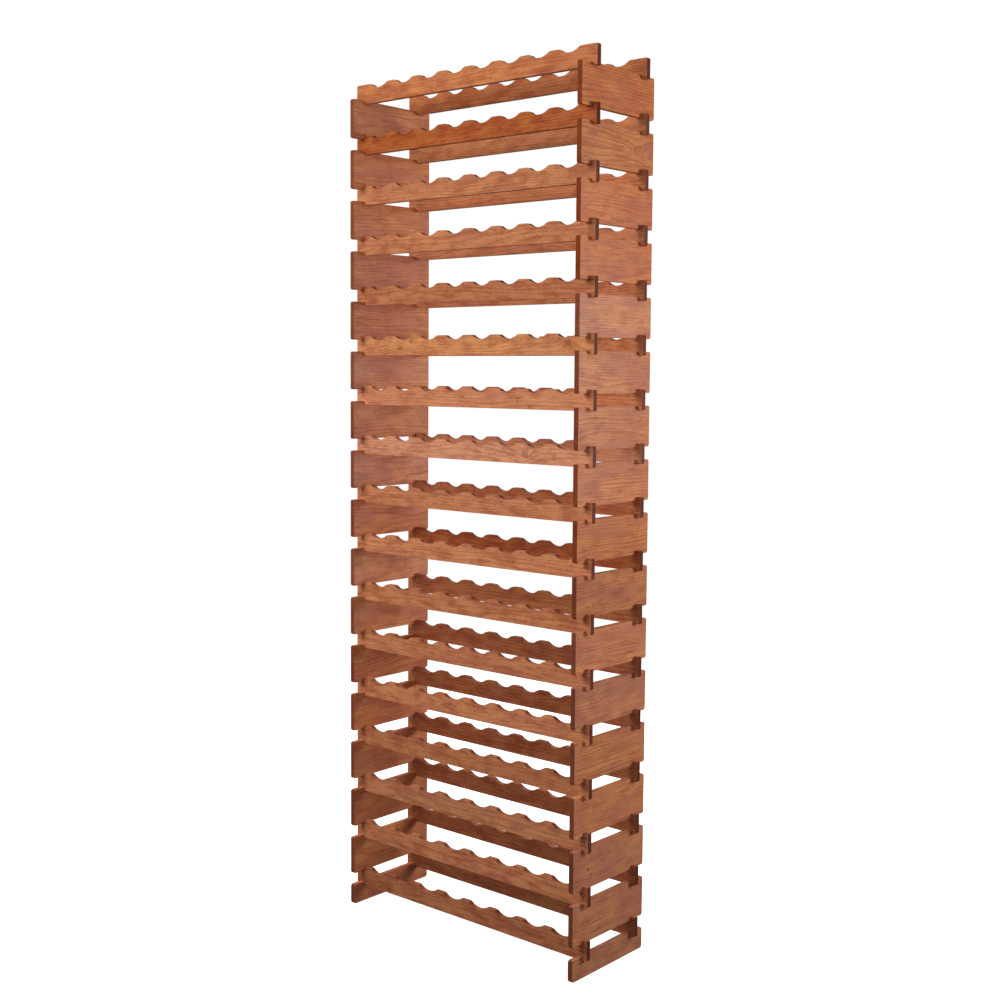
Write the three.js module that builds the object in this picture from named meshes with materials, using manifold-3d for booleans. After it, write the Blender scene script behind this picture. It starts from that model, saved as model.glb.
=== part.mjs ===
// A stacked wine rack in pine: scalloped rails locked between plain side boards, tier upon tier.
// Millimetres, +Z up. X runs across the rack, Y from front (-) to rear (+), and Z = 0 is the floor.
// The origin is on the floor, under the middle of the rack.

import * as THREE from 'three';
import { mergeVertices } from 'three/addons/utils/BufferGeometryUtils.js';
import Module from 'manifold-3d';

const wasm = await Module();
wasm.setup();

// ---- driving dimensions ----

const tierPitch = 133.35; // one side board and the gap above it
const boardHeight = 101.6;
const boardThickness = 14;
const boardLength = 288.9; // front to rear
const boardCorner = 2.5; // how far the corners of a side board are cut back
const footHeight = 54;
const footCorner = 3.5;

const rackWidth = 774.7; // over the outer faces of the side boards
const railHeight = 50.8;
const railThickness = 14;
const railTab = 14; // how far a rail stands out past the side board
const tabCorner = 1.5;
const railSetback = 38.1; // from a board's end to the rail's outer face

const cradlesPerRail = 8;
const cradlePitch = 91;
const cradleRadius = 46;
const cradleDepth = 11.3;
const shoulderRadius = 13.5; // rounds a cradle over into the flat crest beside it
const cradleSegments = 4;

const railLevels = 17;
const joinedTiers = 2; // the lowest tiers, glued up as frames on the base frame

const jointClearance = 0.3;

// ---- worked out from them ----

const boardGap = tierPitch - boardHeight;
const overlap = (railHeight - boardGap) / 2; // how far a rail and a board pass each other
const lapDepth = overlap / 2; // half is cut from the rail and half from the board
const railLength = rackWidth + 2 * railTab;
const boardOffset = (rackWidth - boardThickness) / 2; // from the middle to a board's mid-plane
const railOffset = boardLength / 2 - railSetback - railThickness / 2;
const boardTiers = railLevels - 1;

const railBottom = (level) => footHeight - overlap + (level - 1) * tierPitch;
const boardBottom = (tier) => footHeight + boardGap + (tier - 1) * tierPitch;

// ---- material: one stain, a little different on each piece ----

function stainedPine(shade) {
  const colour = new THREE.Color(0xb5662f).offsetHSL(0, 0, shade);
  return new THREE.MeshStandardMaterial({ color: colour, roughness: 0.5, metalness: 0 });
}

const shadeOf = (number) => 0.025 * Math.sin(number * 2.4);

// ---- outlines ----

// One long edge of a piece, from its low end to its high end, with both corners cut back. inward is
// +1 for a lower edge and -1 for an upper one. details are the points between the corners.
function edgePoints(half, edge, inward, corner, details) {
  return [
    [-half, edge + inward * corner],
    [-half + corner, edge],
    ...details,
    [half - corner, edge],
    [half, edge + inward * corner],
  ];
}

// A notch cut into an edge, inward by depth.
function notchPoints(centre, width, edge, depth, inward) {
  const low = centre - width / 2;
  const high = centre + width / 2;
  const floor = edge + inward * depth;
  return [[low, edge], [low, floor], [high, floor], [high, edge]];
}

// A cradle's arc, from its left shoulder to its right one, hanging below the rail's upper edge. Each
// shoulder is an arc the other way, tangent to the cradle and to the crest, drawn as its chord.
function cradlePoints(centre) {
  const betweenCentres = cradleRadius + shoulderRadius;
  const reach = Math.acos((betweenCentres - cradleDepth) / betweenCentres);
  const halfWidth = betweenCentres * Math.sin(reach);
  const arcCentre = railHeight - cradleDepth + cradleRadius;
  const arc = [];
  for (let step = 0; step <= cradleSegments; step += 1) {
    const angle = reach * (2 * step / cradleSegments - 1);
    const x = centre + cradleRadius * Math.sin(angle);
    arc.push([x, arcCentre - cradleRadius * Math.cos(angle)]);
  }
  return [[centre - halfWidth, railHeight], ...arc, [centre + halfWidth, railHeight]];
}

// A rail seen from the front. Its ends are notched below to sit over the boards under it, unless it
// is glued to those in a frame. They are notched above to take the side boards that stand on it, and
// only the top pair of rails carries none.
function railOutline(notchedBelow, notchedAbove) {
  const half = railLength / 2;
  const width = boardThickness + 2 * jointClearance;
  const depth = lapDepth + jointClearance / 2;
  const notch = (wanted, side, edge, inward) => {
    return wanted ? notchPoints(side * boardOffset, width, edge, depth, inward) : [];
  };
  const cradles = [];
  for (let number = 0; number < cradlesPerRail; number += 1) {
    cradles.push(...cradlePoints((number - (cradlesPerRail - 1) / 2) * cradlePitch));
  }
  const below = [...notch(notchedBelow, -1, 0, 1), ...notch(notchedBelow, 1, 0, 1)];
  const above = [
    ...notch(notchedAbove, -1, railHeight, -1),
    ...cradles,
    ...notch(notchedAbove, 1, railHeight, -1),
  ];
  const lowerEdge = edgePoints(half, 0, 1, tabCorner, below);
  const upperEdge = edgePoints(half, railHeight, -1, tabCorner, above);
  return [...lowerEdge, ...upperEdge.reverse()];
}

// A side board seen from the side, with a shallow slot over each rail below it and one under each
// rail above it, unless those are glued to it in a frame.
function boardOutline(slottedAbove) {
  const half = boardLength / 2;
  const width = railThickness + 2 * jointClearance;
  const depth = lapDepth + jointClearance / 2;
  const slots = (edge, inward) => {
    return [-1, 1].flatMap((side) => {
      return notchPoints(side * railOffset, width, edge, depth, inward);
    });
  };
  const above = slottedAbove ? slots(boardHeight, -1) : [];
  const lowerEdge = edgePoints(half, 0, 1, boardCorner, slots(0, 1));
  const upperEdge = edgePoints(half, boardHeight, -1, boardCorner, above);
  return [...lowerEdge, ...upperEdge.reverse()];
}

// A foot seen from the side: a low board, glued to the rails above it.
function footOutline() {
  const half = boardLength / 2;
  const lowerEdge = edgePoints(half, 0, 1, footCorner, []);
  const upperEdge = edgePoints(half, footHeight, -1, footCorner, []);
  return [...lowerEdge, ...upperEdge.reverse()];
}

// ---- solids ----

function extrudeOutline(outline, thickness) {
  const shape = new THREE.Shape(outline.map(([x, y]) => new THREE.Vector2(x, y)));
  const geometry = new THREE.ExtrudeGeometry(shape, { depth: thickness, bevelEnabled: false });
  return geometry.translate(0, 0, -thickness / 2).rotateX(Math.PI / 2);
}

// The outline's first axis along X and its second up Z, with the thickness across Y.
function railSolid(notchedBelow, notchedAbove) {
  return extrudeOutline(railOutline(notchedBelow, notchedAbove), railThickness);
}

// The same, turned so that the outline's first axis runs along Y and the thickness across X.
function boardSolid(outline) {
  return extrudeOutline(outline, boardThickness).rotateZ(Math.PI / 2);
}

function toManifold(geometry) {
  const bare = geometry.clone();
  bare.deleteAttribute('normal');
  bare.deleteAttribute('uv');
  const merged = mergeVertices(bare);
  const vertProperties = new Float32Array(merged.attributes.position.array);
  const triVerts = new Uint32Array(merged.index.array);
  return new wasm.Manifold(new wasm.Mesh({ numProp: 3, vertProperties, triVerts }));
}

function toGeometry(solid) {
  const mesh = solid.getMesh();
  const geometry = new THREE.BufferGeometry();
  geometry.setAttribute('position', new THREE.BufferAttribute(mesh.vertProperties, 3));
  geometry.setIndex(new THREE.BufferAttribute(mesh.triVerts, 1));
  geometry.computeVertexNormals();
  return geometry;
}

// Two boards joined by a pair of rails across their upper edges: one glued-up frame.
function frameSolid(outline, height) {
  const pieces = [];
  for (const side of [-1, 1]) {
    pieces.push(boardSolid(outline).translate(side * boardOffset, 0, 0));
    pieces.push(railSolid(false, true).translate(0, side * railOffset, height - overlap));
  }
  const joined = pieces.map(toManifold).reduce((whole, piece) => whole.add(piece));
  return toGeometry(joined);
}

// ---- assembly ----

const rack = new THREE.Group();

function addPiece(name, geometry, place, shade) {
  const mesh = new THREE.Mesh(geometry, stainedPine(shade));
  mesh.name = name;
  mesh.position.set(...place);
  rack.add(mesh);
}

const twoDigits = (number) => String(number).padStart(2, '0');

function addBaseFrame() {
  addPiece('base_frame', frameSolid(footOutline(), footHeight), [0, 0, 0], shadeOf(0));
}

// A joined frame's boards are slotted below, over the rails of the frame beneath.
function addTierFrame(tier) {
  const frame = frameSolid(boardOutline(false), boardHeight);
  addPiece(`tier_frame_${twoDigits(tier)}`, frame, [0, 0, boardBottom(tier)], shadeOf(tier));
}

function addLooseTier(tier) {
  const level = tier + 1;
  const board = boardSolid(boardOutline(true));
  const rail = railSolid(true, level < railLevels);
  const ends = [['left', 'front', -1], ['right', 'rear', 1]];
  for (const [boardSide, railSide, sign] of ends) {
    const boardPlace = [sign * boardOffset, 0, boardBottom(tier)];
    const railPlace = [0, sign * railOffset, railBottom(level)];
    addPiece(`side_board_${boardSide}_${twoDigits(tier)}`, board, boardPlace, shadeOf(tier + sign));
    addPiece(`rail_${railSide}_${twoDigits(level)}`, rail, railPlace, shadeOf(tier + 2 * sign));
  }
}

addBaseFrame();
for (let tier = 1; tier <= boardTiers; tier += 1) {
  if (tier <= joinedTiers) {
    addTierFrame(tier);
  } else {
    addLooseTier(tier);
  }
}

export default rack;
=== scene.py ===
# The looks of the stacked wine rack: every board, rail and foot as its own piece of stained pine,
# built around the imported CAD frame. Metres, +Z up, X across the rack, Y from front (-) to rear (+).

import math
import random

import bmesh
import bpy
from mathutils import Matrix, Vector


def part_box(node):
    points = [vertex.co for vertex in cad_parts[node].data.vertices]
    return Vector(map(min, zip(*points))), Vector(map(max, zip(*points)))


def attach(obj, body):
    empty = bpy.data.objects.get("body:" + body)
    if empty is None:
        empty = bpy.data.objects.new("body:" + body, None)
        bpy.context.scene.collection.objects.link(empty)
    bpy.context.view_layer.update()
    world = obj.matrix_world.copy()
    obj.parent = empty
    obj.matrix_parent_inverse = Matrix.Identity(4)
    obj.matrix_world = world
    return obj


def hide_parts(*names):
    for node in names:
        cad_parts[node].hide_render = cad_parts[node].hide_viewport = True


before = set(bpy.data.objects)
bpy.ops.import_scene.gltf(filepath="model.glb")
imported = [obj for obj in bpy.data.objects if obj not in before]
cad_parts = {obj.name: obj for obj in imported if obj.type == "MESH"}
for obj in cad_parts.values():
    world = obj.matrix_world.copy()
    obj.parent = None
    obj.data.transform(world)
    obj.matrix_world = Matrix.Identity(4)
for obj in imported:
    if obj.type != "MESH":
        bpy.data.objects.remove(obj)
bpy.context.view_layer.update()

# ---- driving dimensions, in metres: what the frame's boxes don't say ----

MM = 0.001

BOARD_CORNER = 4.0 * MM  # radius of a side board's corners, seen from the side
FOOT_CORNER = 5.5 * MM
TAB_CORNER = 3.0 * MM
EASED_EDGE = 1.1 * MM  # sanded off every long edge
JOINT_CLEARANCE = 0.3 * MM

CRADLES = 8
CRADLE_PITCH = 91 * MM
CRADLE_RADIUS = 46 * MM
CRADLE_DEPTH = 11.3 * MM
SHOULDER_RADIUS = 13.5 * MM

JOINED_TIERS = 2  # the lowest tiers, whose CAD nodes hold two boards and two rails each
BOARD_TIERS = 16

CORNER_STEPS = 6
EASED_STEPS = 3
SHOULDER_STEPS = 5
CRADLE_STEPS = 18
SMOOTH_BELOW = math.radians(50)  # shaded as one surface where faces meet at less than this

# ---- sizes read from the frame ----


def size_of(node):
    low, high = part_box(node)
    return high - low


board_thickness, board_length, board_height = size_of("side_board_right_03")
rail_length, rail_thickness, rail_height = size_of("rail_front_04")

board_offset = sum(corner.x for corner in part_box("side_board_right_03")) / 2
rail_offset = sum(corner.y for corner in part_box("rail_rear_04")) / 2
tier_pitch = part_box("side_board_right_04")[0].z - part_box("side_board_right_03")[0].z
board_gap = tier_pitch - board_height
foot_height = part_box("side_board_right_03")[0].z - JOINED_TIERS * tier_pitch - board_gap
overlap = (rail_height - board_gap) / 2
notch_depth = (overlap + JOINT_CLEARANCE) / 2


def rail_bottom(level):
    return foot_height - overlap + (level - 1) * tier_pitch


def board_bottom(tier):
    return foot_height + board_gap + (tier - 1) * tier_pitch


# ---- outlines: (along, up) points, counter-clockwise, with up measured from the piece's lower edge ----


def long_edge(half, edge, inward, corner, details):
    """One long edge from its low end to its high end, corners rounded. inward is +1 below, -1 above."""
    turns = [math.pi / 2 * step / CORNER_STEPS for step in range(CORNER_STEPS + 1)]
    round_in = [
        (half - corner + corner * math.cos(turn), edge + inward * corner * (1 - math.sin(turn)))
        for turn in turns
    ]
    low_end = [(-along, up) for along, up in round_in]
    return low_end + details + round_in[::-1]


def notch(centre, width, edge, inward):
    """A square notch cut inward from a long edge."""
    floor = edge + inward * notch_depth
    low, high = centre - width / 2, centre + width / 2
    return [(low, edge), (low, floor), (high, floor), (high, edge)]


def cradle(centre):
    """A bottle's cradle in a rail's upper edge: an arc between two shoulders that round it over."""
    between = CRADLE_RADIUS + SHOULDER_RADIUS
    reach = math.acos((between - CRADLE_DEPTH) / between)
    half = between * math.sin(reach)
    shoulder_up = rail_height - SHOULDER_RADIUS
    arc_up = rail_height - CRADLE_DEPTH + CRADLE_RADIUS
    points = []
    for step in range(SHOULDER_STEPS):
        turn = reach * step / SHOULDER_STEPS
        along = centre - half + SHOULDER_RADIUS * math.sin(turn)
        points.append((along, shoulder_up + SHOULDER_RADIUS * math.cos(turn)))
    for step in range(CRADLE_STEPS + 1):
        turn = reach * (2 * step / CRADLE_STEPS - 1)
        along = centre + CRADLE_RADIUS * math.sin(turn)
        points.append((along, arc_up - CRADLE_RADIUS * math.cos(turn)))
    for step in range(SHOULDER_STEPS - 1, -1, -1):
        turn = reach * step / SHOULDER_STEPS
        along = centre + half - SHOULDER_RADIUS * math.sin(turn)
        points.append((along, shoulder_up + SHOULDER_RADIUS * math.cos(turn)))
    return points


def rail_outline(carries_boards):
    """A rail seen from the front. Only the top pair carries no side boards, so it isn't notched above."""
    half = rail_length / 2
    width = board_thickness + 2 * JOINT_CLEARANCE
    below = notch(-board_offset, width, 0, 1) + notch(board_offset, width, 0, 1)
    above = []
    for number in range(CRADLES):
        above += cradle((number - (CRADLES - 1) / 2) * CRADLE_PITCH)
    if carries_boards:
        low_notch = notch(-board_offset, width, rail_height, -1)
        above = low_notch + above + notch(board_offset, width, rail_height, -1)
    lower = long_edge(half, 0, 1, TAB_CORNER, below)
    upper = long_edge(half, rail_height, -1, TAB_CORNER, above)
    return lower + upper[::-1]


def rail_slots(edge, inward):
    """The pair of slots that take the front and the rear rail in a board's or a foot's edge."""
    width = rail_thickness + 2 * JOINT_CLEARANCE
    return notch(-rail_offset, width, edge, inward) + notch(rail_offset, width, edge, inward)


def board_outline():
    half = board_length / 2
    lower = long_edge(half, 0, 1, BOARD_CORNER, rail_slots(0, 1))
    upper = long_edge(half, board_height, -1, BOARD_CORNER, rail_slots(board_height, -1))
    return lower + upper[::-1]


def foot_outline():
    half = board_length / 2
    lower = long_edge(half, 0, 1, FOOT_CORNER, [])
    upper = long_edge(half, foot_height, -1, FOOT_CORNER, rail_slots(foot_height, -1))
    return lower + upper[::-1]


# ---- pieces ----


def log_place(chance):
    """Where in its log a piece was cut: how far along it, and how far beside and below its pith."""
    along = chance.uniform(1, 50)
    beside = chance.choice((-1, 1)) * chance.uniform(25, 90) * MM
    below = chance.uniform(-60, 60) * MM
    return Vector((along, beside, below))


def cut_piece(outline, thickness, notch_at, log):
    """One piece's timber, its length along X, centred on the origin and standing on Z = 0.

    Its long edges are eased, except inside the notches. Each point keeps its place in the log."""
    solid = bmesh.new()
    worn = solid.faces.layers.float.new("worn")
    in_log = solid.verts.layers.float_vector.new("in_log")
    front = [solid.verts.new((along, -thickness / 2, up)) for along, up in outline]
    back = [solid.verts.new((along, thickness / 2, up)) for along, up in outline]
    solid.faces.new(front)
    solid.faces.new(back[::-1])
    count = len(outline)
    for here in range(count):
        there = (here + 1) % count
        solid.faces.new((front[there], front[here], back[here], back[there]))
    notch_reach = max(board_thickness, rail_thickness) / 2 + 2 * JOINT_CLEARANCE

    def in_notch(vertex):
        return abs(abs(vertex.co.x) - notch_at) < notch_reach

    def is_rim(edge):
        low, high = edge.verts
        return low.co.y * high.co.y > 0 and not (in_notch(low) and in_notch(high))

    eased = bmesh.ops.bevel(
        solid,
        geom=[edge for edge in solid.edges if is_rim(edge)],
        offset=EASED_EDGE,
        segments=EASED_STEPS,
        profile=0.5,
        affect="EDGES",
        clamp_overlap=True,
    )
    for face in eased["faces"]:
        face[worn] = 1.0
    for vertex in solid.verts:
        vertex[in_log] = vertex.co + log
    return solid


def add_piece(name, solid, place, material):
    for face in solid.faces:
        face.smooth = True
    solid.transform(place)
    mesh = bpy.data.meshes.new(name)
    solid.to_mesh(mesh)
    solid.free()
    mesh.set_sharp_from_angle(angle=SMOOTH_BELOW)
    mesh.materials.append(material)
    piece = bpy.data.objects.new(name, mesh)
    bpy.context.scene.collection.objects.link(piece)
    flat_faces = piece.modifiers.new("flat_faces", "WEIGHTED_NORMAL")
    flat_faces.keep_sharp = True
    return piece


def finish_piece(piece, node):
    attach(piece, "root")
    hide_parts(node)


# ---- material: stained pine, cut from a round log whose pith is the X axis of in_log ----


class Shader:
    """A material's node tree, with short calls for the nodes that the wood needs."""

    def __init__(self, name):
        self.material = bpy.data.materials.new(name)
        self.material.use_nodes = True
        self.nodes = self.material.node_tree.nodes
        self.links = self.material.node_tree.links
        self.surface = self.nodes["Principled BSDF"]

    def feed(self, socket, value):
        if isinstance(value, bpy.types.NodeSocket):
            self.links.new(value, socket)
        else:
            socket.default_value = value

    def math(self, operation, *values, clamp=False):
        node = self.nodes.new("ShaderNodeMath")
        node.operation = operation
        node.use_clamp = clamp
        for socket, value in zip(node.inputs, values):
            self.feed(socket, value)
        return node.outputs[0]

    def vector(self, operation, *values):
        node = self.nodes.new("ShaderNodeVectorMath")
        node.operation = operation
        for socket, value in zip(node.inputs, values):
            self.feed(socket, value)
        return node.outputs["Value" if operation in ("LENGTH", "DOT_PRODUCT") else "Vector"]

    def split(self, vector):
        node = self.nodes.new("ShaderNodeSeparateXYZ")
        self.feed(node.inputs[0], vector)
        return node.outputs

    def attribute(self, name, kind="GEOMETRY"):
        node = self.nodes.new("ShaderNodeAttribute")
        node.attribute_type = kind
        node.attribute_name = name
        return node.outputs

    def noise(self, point, stretch, detail=2.0, roughness=0.5):
        """Noise from 0 to 1, with features about as large as stretch says along each axis, in metres."""
        node = self.nodes.new("ShaderNodeTexNoise")
        scaled = self.vector("DIVIDE", point, stretch)
        self.feed(node.inputs["Vector"], scaled)
        node.inputs["Scale"].default_value = 1.0
        node.inputs["Detail"].default_value = detail
        node.inputs["Roughness"].default_value = roughness
        return node.outputs["Fac"]

    def steps(self, value, *stops, smooth=False):
        """A curve through (value, result) stops, as a grey ramp."""
        node = self.nodes.new("ShaderNodeValToRGB")
        node.color_ramp.interpolation = "EASE" if smooth else "LINEAR"
        elements = node.color_ramp.elements
        while len(elements) < len(stops):
            elements.new(0.5)
        for element, (position, result) in zip(elements, stops):
            element.position = position
            element.color = (result, result, result, 1)
        self.feed(node.inputs["Fac"], value)
        return node.outputs["Color"]

    def blend(self, factor, first, second, kind="MIX"):
        node = self.nodes.new("ShaderNodeMix")
        node.data_type = "RGBA"
        node.blend_type = kind
        factor_socket, first_socket, second_socket = (node.inputs[index] for index in (0, 6, 7))
        self.feed(factor_socket, factor)
        self.feed(first_socket, first)
        self.feed(second_socket, second)
        return node.outputs[2]


def linear(red, green, blue):
    """An sRGB colour, given as 0 to 255, as the shader's linear one."""

    def channel(value):
        value /= 255
        return value / 12.92 if value <= 0.04045 else ((value + 0.055) / 1.055) ** 2.4

    return (channel(red), channel(green), channel(blue), 1)


HONEY = linear(226, 154, 98)
AMBER = linear(200, 121, 77)
ROSE = linear(186, 112, 86)
RUSSET = linear(142, 70, 46)
KNOT = linear(114, 44, 26)
RAIL_END_GRAIN = (0.26, 0.15, 0.13, 1)  # what the stain leaves of a colour where it soaks in
BOARD_END_GRAIN = (0.36, 0.27, 0.28, 1)

RING_WIDTH = 5.2 * MM
RING_WANDER = 30 * MM  # how far rings stray from round, slowly along the log
RING_RIPPLE = 2.2 * MM  # and quickly
KNOT_BULGE = 20 * MM  # how far a knot pushes the rings aside
KNOT_STRETCH = 0.75  # a knot's height as a share of its length
KNOT_RAGGEDNESS = 0.5
FIGURE_DEPTH = 0.4 * MM

# The size of each feature of the wood, in metres, along the log and across it.
SLOW = (0.35, 0.055, 0.055)
QUICK = (0.07, 0.009, 0.009)
STREAKS = (0.085, 0.0020, 0.0020)
FIBRES = (0.014, 0.0006, 0.0006)
FLECKS = (0.0085, 0.0013, 0.0013)
BLOTCHES = (0.052, 0.022, 0.022)
CLOUDS = (0.16, 0.05, 0.05)
KNOT_EDGE = (0.008, 0.008, 0.008)


def distance_from_axis(shader, first, second):
    squares = shader.math("MULTIPLY_ADD", first, first, shader.math("MULTIPLY", second, second))
    return shader.math("SQRT", squares)


def knot(shader, point, name):
    """Distance from a piece's knot, in its radii, and how dark it is: small knots are the darkest."""
    place = shader.attribute(name, "OBJECT")["Vector"]
    knot_along, knot_up, radius = shader.split(place)
    point_along, _, point_up = shader.split(point)
    along = shader.math("MULTIPLY", shader.math("SUBTRACT", point_along, knot_along), KNOT_STRETCH)
    up = shader.math("SUBTRACT", point_up, knot_up)
    distance = shader.math("DIVIDE", distance_from_axis(shader, along, up), radius)
    ragged = shader.noise(point, KNOT_EDGE, detail=2.0)
    distance = shader.math("MULTIPLY_ADD", ragged, KNOT_RAGGEDNESS, distance)
    darkness = shader.math("MULTIPLY_ADD", radius, -45.0, 0.9, clamp=True)
    heart = shader.steps(distance, (0.62, 1.0), (0.98, 0.0), smooth=True)
    return distance, shader.math("MULTIPLY", heart, darkness)


def stained_pine(name, grain_axis, end_colour, vivid, rosy, flecked, blotched, streaked):
    """Pine under a brown stain. The last five say how much of each look this stock has."""
    shader = Shader(name)
    point = shader.attribute("in_log")["Vector"]

    # Growth rings: distance from the pith, wandering slowly along the log and bulging round knots.
    _, beside, above = shader.split(point)
    slow = shader.noise(point, SLOW, detail=1.0)
    quick = shader.noise(point, QUICK, detail=1.0)
    knots = [knot(shader, point, label) for label in ("knot_a", "knot_b")]
    nearest = shader.math("MINIMUM", knots[0][0], knots[1][0])
    bulge = shader.math("EXPONENT", shader.math("MULTIPLY", nearest, -0.7))
    wander = shader.math("MULTIPLY", slow, RING_WANDER)
    wander = shader.math("MULTIPLY_ADD", quick, RING_RIPPLE, wander)
    wander = shader.math("MULTIPLY_ADD", bulge, KNOT_BULGE, wander)
    from_pith = shader.math("ADD", distance_from_axis(shader, beside, above), wander)
    growth = shader.math("FRACT", shader.math("DIVIDE", from_pith, RING_WIDTH))
    ring = shader.steps(growth, (0.0, 0.25), (0.12, 0.0), (0.55, 0.22), (0.88, 1.0), (1.0, 0.25))

    # Fibres: long thin streaks, finer ones within them, and short dark flecks.
    streaks = shader.noise(point, STREAKS, detail=2.0, roughness=0.6)
    streak = shader.steps(streaks, (0.46, 0.0), (0.72, 1.0), smooth=True)
    fibres = shader.noise(point, FIBRES, detail=2.0, roughness=0.6)
    flecks = shader.noise(point, FLECKS, detail=1.0, roughness=0.5)
    fleck = shader.steps(flecks, (0.57, 0.0), (0.72, 1.0))

    # Where the stain took more or less.
    blotches = shader.noise(point, BLOTCHES, detail=4.0, roughness=0.6)
    blotch = shader.steps(blotches, (0.38, 0.0), (0.68, 1.0), smooth=True)
    clouds = shader.noise(point, CLOUDS, detail=2.0)
    cloud = shader.steps(clouds, (0.40, 0.0), (0.62, 1.0), smooth=True)

    # How dark all of that makes the wood, from honey through amber to russet.
    dark = shader.math("MULTIPLY_ADD", ring, 0.26, -0.09)
    dark = shader.math("MULTIPLY_ADD", streak, streaked, dark)
    dark = shader.math("MULTIPLY_ADD", blotch, blotched, dark)
    dark = shader.math("MULTIPLY_ADD", fleck, flecked, dark)
    dark = shader.math("MULTIPLY_ADD", fibres, 0.42, dark, clamp=True)
    colour = shader.blend(shader.steps(dark, (0.05, 0.0), (0.42, 1.0)), HONEY, AMBER)
    colour = shader.blend(shader.math("MULTIPLY", cloud, rosy), colour, ROSE)
    colour = shader.blend(shader.steps(dark, (0.36, 0.0), (1.0, 1.0)), colour, RUSSET)

    # Knots: a red-brown heart and a darker rim.
    heart = shader.math("MAXIMUM", knots[0][1], knots[1][1])
    rim = shader.steps(nearest, (0.70, 0.0), (0.95, 1.0), (1.0, 0.0))
    colour = shader.blend(heart, colour, KNOT)
    colour = shader.blend(shader.math("MULTIPLY", rim, 0.35), colour, KNOT)

    # End grain drinks the stain: the ends, and less so the shoulders of the cradles.
    normal = shader.nodes.new("ShaderNodeNewGeometry").outputs["Normal"]
    facing = shader.math("ABSOLUTE", shader.vector("DOT_PRODUCT", normal, grain_axis))
    end_grain = shader.steps(facing, (0.15, 0.0), (0.56, 0.75), (0.92, 1.0))
    soaked = shader.blend(1.0, colour, end_colour, "MULTIPLY")
    colour = shader.blend(end_grain, colour, soaked)

    # Sanded edges, where some of the stain has gone again.
    worn = shader.attribute("worn")["Fac"]
    rubbed = shader.math("MULTIPLY", worn, shader.steps(blotches, (0.35, 0.03), (0.65, 0.25)))
    colour = shader.blend(rubbed, colour, HONEY)

    # Each piece's own tone, which it carries as an object value. On some pieces it holds painted light
    # and painted shade as well as the stain.
    shade, hue, saturation = shader.split(shader.attribute("stain", "OBJECT")["Vector"])
    tint = shader.nodes.new("ShaderNodeHueSaturation")
    shader.feed(tint.inputs["Hue"], hue)
    shader.feed(tint.inputs["Saturation"], shader.math("MULTIPLY", saturation, vivid))
    shader.feed(tint.inputs["Value"], shade)
    shader.feed(tint.inputs["Color"], colour)
    surface = shader.surface
    shader.feed(surface.inputs["Base Color"], tint.outputs["Color"])

    # A thin satin varnish, duller on end grain, over wood whose figure can just be felt.
    roughness = shader.math("MULTIPLY_ADD", streaks, 0.20, 0.28)
    roughness = shader.math("MULTIPLY_ADD", end_grain, 0.35, roughness)
    shader.feed(surface.inputs["Roughness"], roughness)
    surface.inputs["Specular IOR Level"].default_value = 0.22
    surface.inputs["Coat Weight"].default_value = 0.05
    surface.inputs["Coat Roughness"].default_value = 0.35

    height = shader.math("MULTIPLY", ring, 0.5)
    height = shader.math("MULTIPLY_ADD", fibres, 0.9, height)
    height = shader.math("MULTIPLY_ADD", streaks, 0.6, height)
    bump = shader.nodes.new("ShaderNodeBump")
    bump.inputs["Strength"].default_value = 0.35
    bump.inputs["Distance"].default_value = FIGURE_DEPTH
    shader.feed(bump.inputs["Height"], height)
    shader.feed(surface.inputs["Normal"], bump.outputs["Normal"])
    return shader.material


rail_pine = stained_pine(
    "rail_pine",
    (1, 0, 0),
    RAIL_END_GRAIN,
    vivid=0.97,
    rosy=0.25,
    flecked=0.36,
    blotched=0.30,
    streaked=0.20,
)
board_pine = stained_pine(
    "board_pine",
    (0, 1, 0),
    BOARD_END_GRAIN,
    vivid=1.0,
    rosy=0.60,
    flecked=0.24,
    blotched=0.21,
    streaked=0.30,
)

# ---- assembly ----

NO_KNOT = (0.0, -9.0, 1 * MM)  # so far below the piece that it shows nowhere

# Painted light: lightens the left boards and foot, and makes them a little less saturated, so that they
# match the photo under the lights below. It stands in for light that these lamps don't give them, not for
# the stain.
LEFT_SIDE_PAINTED_LIGHT = 1.12
LEFT_SIDE_SATURATION = 0.98
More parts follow.
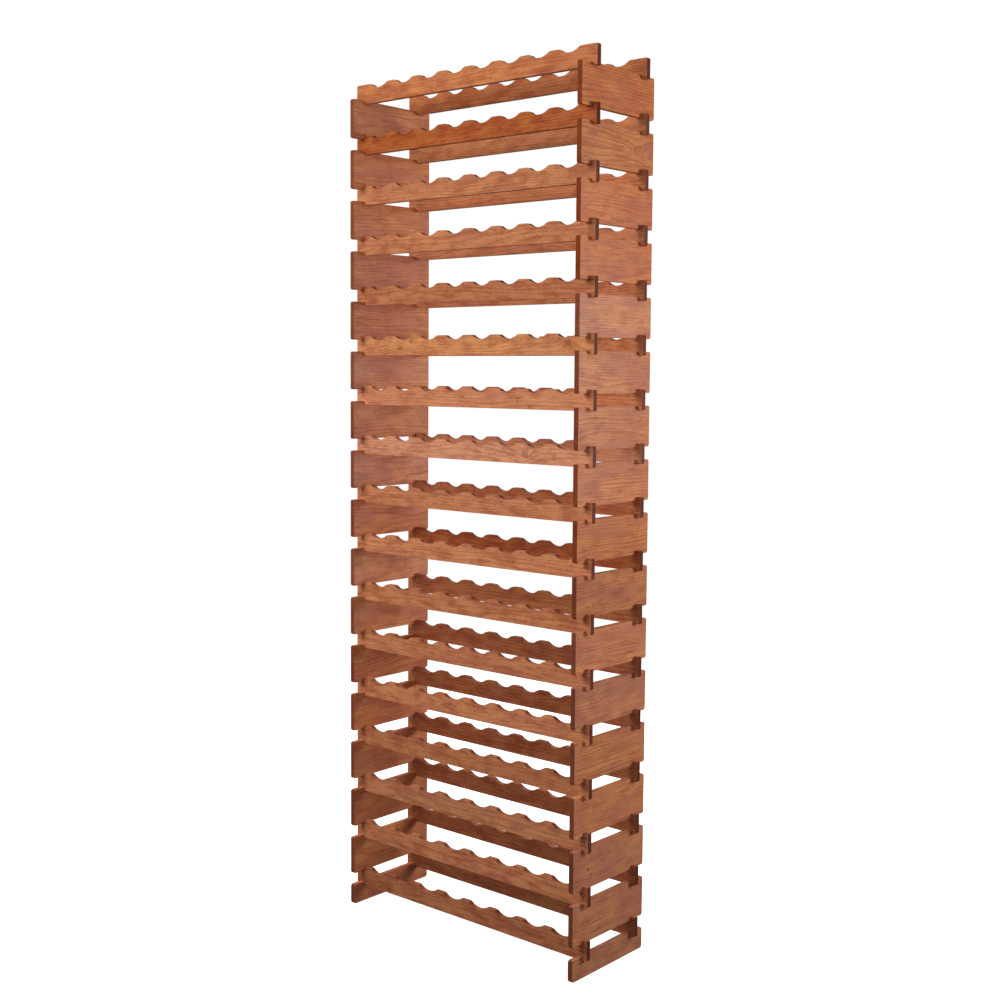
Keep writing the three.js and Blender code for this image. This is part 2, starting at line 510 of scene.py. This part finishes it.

# Tones set to match single pieces in the photo, as (shade, hue, saturation). Some are the stain and some
# are painted light: the dark tones of the lower rear rails are painted shade, and the greyed tone of the
# left boards is partly a painted sheen. The lowest right boards and the right foot are darker towards the
# bottom. After them come the place and radius of the knots that stand out, as (along, up from the piece's
# middle, radius).
PALE = (1.08, 0.500, 0.98)
BLEACHED = (1.11, 0.502, 0.93)
# Lighter and greyer: on the left boards this partly paints a pale sheen into the colour.
GREYED_AND_SHEEN = (1.15, 0.500, 0.93)
GOLDEN = (1.06, 0.506, 1.01)
PLAIN = (1.03, 0.500, 1.00)
VIVID = (1.03, 0.497, 1.07)
ORANGE = (0.90, 0.499, 1.05)
BURNT = (0.67, 0.493, 1.12)
WARM = (0.98, 0.500, 1.05)
MELLOW = (0.96, 0.498, 1.00)
DEEP = (0.88, 0.500, 1.01)
DUSKY = (0.95, 0.498, 0.95)
UMBER = (0.84, 0.498, 0.94)
# A darker, ruddier tone; on the lower rear rails it is painted shade.
RUDDY_STAIN_AND_SHADE = (0.80, 0.497, 1.02)
# Redder and darker: on rear rail 08 partly a red stain and partly painted shade.
CHERRY_STAIN_AND_SHADE = (0.77, 0.494, 1.07)
STAINS_AND_PAINTED_LIGHT = {
    "front_rail_17": ORANGE,
    "front_rail_16": BURNT,
    "front_rail_15": DEEP,
    "front_rail_14": DEEP,
    "front_rail_13": RUDDY_STAIN_AND_SHADE,
    "front_rail_12": GOLDEN,
    "front_rail_11": PALE,
    "front_rail_10": GREYED_AND_SHEEN,
    "front_rail_08": PLAIN,
    "front_rail_06": MELLOW,
    "front_rail_05": PLAIN,
    "front_rail_04": DEEP,
    "front_rail_02": MELLOW,
    "front_rail_01": RUDDY_STAIN_AND_SHADE,
    "rear_rail_17": ORANGE,
    "rear_rail_11": PALE,
    "rear_rail_10": BLEACHED,
    # Rear rails 08 down to 01: their darker tones are painted shade, standing in for shadow that the
    # lamps don't cast on them.
    "rear_rail_08": CHERRY_STAIN_AND_SHADE,
    "rear_rail_07": DEEP,
    "rear_rail_06": RUDDY_STAIN_AND_SHADE,
    "rear_rail_05": RUDDY_STAIN_AND_SHADE,
    "rear_rail_04": RUDDY_STAIN_AND_SHADE,
    "rear_rail_03": RUDDY_STAIN_AND_SHADE,
    "rear_rail_02": RUDDY_STAIN_AND_SHADE,
    "rear_rail_01": RUDDY_STAIN_AND_SHADE,
    "right_board_16": VIVID,
    "right_board_15": WARM,
    "right_board_14": VIVID,
    "right_board_13": VIVID,
    "right_board_12": PALE,
    "right_board_11": PLAIN,
    "right_board_10": MELLOW,
    "right_board_08": WARM,
    "right_board_07": DEEP,
    "right_board_06": PALE,
    # The lowest right boards and the right foot: darker and duller towards the bottom.
    "right_board_05": DUSKY,
    "right_board_02": DUSKY,
    "right_board_01": DUSKY,
    "right_foot": UMBER,
    # Left boards 11, 09 and 07: their greyed tone is partly a painted sheen.
    "left_board_11": GREYED_AND_SHEEN,
    "left_board_09": GREYED_AND_SHEEN,
    "left_board_07": GREYED_AND_SHEEN,
    "left_board_05": MELLOW,
    "left_board_02": MELLOW,
}
KNOTS = {
    "front_rail_12": [(-0.238, -0.002, 15 * MM), (0.324, 0.002, 11 * MM)],
    "front_rail_10": [(0.194, -0.004, 12 * MM)],
    "right_board_02": [(-0.087, -0.004, 6 * MM), (-0.075, -0.018, 5 * MM)],
    "right_board_15": [(0.078, 0.002, 17 * MM)],
    "left_board_07": [(0.051, -0.007, 4 * MM)],
}


def describe_wood(piece, log, height, chance):
    """Gives a piece its tone, which holds painted light on some pieces, and its knots, as the object's
    own values that the material reads.
    """
    shade = chance.uniform(0.93, 1.05)
    hue = chance.uniform(0.498, 0.502)
    saturation = chance.uniform(0.98, 1.02)
    # Painted light: the left boards and foot are made lighter and a little less saturated.
    if piece.name.startswith("left"):
        shade *= LEFT_SIDE_PAINTED_LIGHT
        saturation *= LEFT_SIDE_SATURATION
    stain = (shade, hue, saturation)
    # A listed tone replaces the seeded one; on some pieces it is painted light or painted shade.
    piece["stain"] = STAINS_AND_PAINTED_LIGHT.get(piece.name, stain)
    knots = KNOTS.get(piece.name, [])
    for index, label in enumerate(("knot_a", "knot_b")):
        piece[label] = NO_KNOT
        if index < len(knots):
            along, up, radius = knots[index]
            piece[label] = (log.x + along, log.z + height / 2 + up, radius)


def two_digits(number):
    return f"{number:02d}"


def add_rail(side, sign, level):
    name = f"{side}_rail_{two_digits(level)}"
    chance = random.Random(name)
    log = log_place(chance)
    solid = cut_piece(rail_outline(level <= BOARD_TIERS), rail_thickness, board_offset, log)
    place = Matrix.Translation((0, sign * rail_offset, rail_bottom(level)))
    piece = add_piece(name, solid, place, rail_pine)
    describe_wood(piece, log, rail_height, chance)
    if level == 1:
        finish_piece(piece, "base_frame")
    elif level <= JOINED_TIERS + 1:
        finish_piece(piece, f"tier_frame_{two_digits(level - 1)}")
    else:
        finish_piece(piece, f"rail_{side}_{two_digits(level)}")


def add_upright(name, outline, height, place, node):
    """A side board or a foot, its length turned along Y."""
    chance = random.Random(name)
    log = log_place(chance)
    solid = cut_piece(outline, board_thickness, rail_offset, log)
    turned = Matrix.Translation(place) @ Matrix.Rotation(math.pi / 2, 4, "Z")
    piece = add_piece(name, solid, turned, board_pine)
    describe_wood(piece, log, height, chance)
    finish_piece(piece, node)


def add_board(side, sign, tier):
    digits = two_digits(tier)
    node, slot = f"side_board_{side}_{digits}", "side_boards"
    if tier <= JOINED_TIERS:
        node, slot = f"tier_frame_{digits}", "joined_frames"
    place = (sign * board_offset, 0, board_bottom(tier))
    add_upright(f"{side}_board_{digits}", board_outline(), board_height, place, node)


for side, sign in (("left", -1), ("right", 1)):
    foot_place = (sign * board_offset, 0, 0)
    add_upright(f"{side}_foot", foot_outline(), foot_height, foot_place, "base_frame")
    for tier in range(1, BOARD_TIERS + 1):
        add_board(side, sign, tier)
for side, sign in (("front", -1), ("rear", 1)):
    for level in range(1, BOARD_TIERS + 2):
        add_rail(side, sign, level)

# ---- studio: the camera stands where the photo's does, and the lights roughly match its shading ----

FLOOR_REACH = 60
LIGHTS_AIM = Vector((0, 0, 1.15))
CAMERA_PLACE = (2.3936, -2.7516, 1.4715)
CAMERA_TURN = math.radians(40.76)  # from looking along +Y towards -X
CAMERA_DIP = math.radians(4.312)
CAMERA_ROLL = math.radians(0.41)


def add_floor():
    """A white sweep, lit from within so that it stays pale. It puts no light on the wood."""
    mesh = bpy.data.meshes.new("studio_floor")
    turns = ((-1, -1), (1, -1), (1, 1), (-1, 1))
    corners = [(x * FLOOR_REACH, y * FLOOR_REACH, 0) for x, y in turns]
    mesh.from_pydata(corners, [], [(0, 1, 2, 3)])
    shader = Shader("studio_white")
    mottle = shader.noise(shader.nodes.new("ShaderNodeNewGeometry").outputs["Position"], (0.4, 0.4, 0.4))
    paint = shader.blend(mottle, (0.80, 0.80, 0.80, 1), (0.83, 0.83, 0.83, 1))
    shader.feed(shader.surface.inputs["Base Color"], paint)
    shader.surface.inputs["Roughness"].default_value = 0.9
    shader.surface.inputs["Specular IOR Level"].default_value = 0.1
    shader.surface.inputs["Emission Color"].default_value = (1, 1, 1, 1)
    shader.surface.inputs["Emission Strength"].default_value = 0.90
    mesh.materials.append(shader.material)
    floor = bpy.data.objects.new("studio_floor", mesh)
    bpy.context.scene.collection.objects.link(floor)
    floor.visible_diffuse = False
    floor.visible_glossy = False


def add_softbox(name, place, width, height, power, mirrored=True):
    """A soft light on the middle of the rack. One that isn't mirrored leaves no glare on the varnish."""
    light = bpy.data.lights.new(name, "AREA")
    light.shape = "RECTANGLE"
    light.size = width
    light.size_y = height
    light.energy = power
    lamp = bpy.data.objects.new(name, light)
    lamp.location = place
    lamp.rotation_euler = (LIGHTS_AIM - Vector(place)).to_track_quat("-Z", "Y").to_euler()
    lamp.visible_glossy = mirrored
    bpy.context.scene.collection.objects.link(lamp)


def add_world():
    """White behind the rack, and a soft grey light on it that is weaker from below."""
    world = bpy.data.worlds.new("studio_world")
    bpy.context.scene.world = world
    world.use_nodes = True
    nodes, links = world.node_tree.nodes, world.node_tree.links
    ambient = nodes["Background"]
    direction = nodes.new("ShaderNodeTexCoord").outputs["Generated"]
    height = nodes.new("ShaderNodeSeparateXYZ")
    links.new(direction, height.inputs[0])
    fade = nodes.new("ShaderNodeMapRange")
    fade.inputs["From Min"].default_value = -0.5
    fade.inputs["From Max"].default_value = 0.4
    fade.inputs["To Min"].default_value = 0.04
    fade.inputs["To Max"].default_value = 0.15
    links.new(height.outputs["Z"], fade.inputs["Value"])
    links.new(fade.outputs[0], ambient.inputs["Strength"])
    white = nodes.new("ShaderNodeBackground")
    white.inputs["Strength"].default_value = 1.02
    for background in (ambient, white):
        background.inputs["Color"].default_value = (1, 1, 1, 1)
    seen = nodes.new("ShaderNodeMixShader")
    rays = nodes.new("ShaderNodeLightPath")
    links.new(rays.outputs["Is Camera Ray"], seen.inputs["Fac"])
    links.new(ambient.outputs[0], seen.inputs[1])
    links.new(white.outputs[0], seen.inputs[2])
    links.new(seen.outputs[0], nodes["World Output"].inputs["Surface"])


def add_camera():
    camera = bpy.data.cameras.new("camera")
    camera.lens = 50.56
    camera.sensor_width = 36
    camera.shift_y = -0.0232
    camera.clip_end = 200
    view = bpy.data.objects.new("camera", camera)
    turn = Matrix.Rotation(CAMERA_TURN, 4, "Z")
    tilt = Matrix.Rotation(math.pi / 2 - CAMERA_DIP, 4, "X")
    roll = Matrix.Rotation(CAMERA_ROLL, 4, "Z")
    view.matrix_world = Matrix.Translation(CAMERA_PLACE) @ turn @ tilt @ roll
    bpy.context.scene.collection.objects.link(view)
    bpy.context.scene.camera = view


add_floor()
add_world()
add_softbox("front_key", (-0.6, -3.0, 2.7), 2.0, 1.6, 87, mirrored=False)
add_softbox("right_key", (2.6, 1.5, 1.6), 1.0, 1.6, 51)
add_softbox("right_fill", (2.7, -1.25, 1.7), 1.0, 1.6, 12)
add_softbox("left_fill", (-2.8, -0.2, 1.5), 2.2, 2.2, 42, mirrored=False)
add_softbox("rear_fill", (-0.6, 2.8, 1.5), 2.2, 2.2, 36, mirrored=False)
add_camera()
bpy.context.scene.view_settings.view_transform = "Standard"
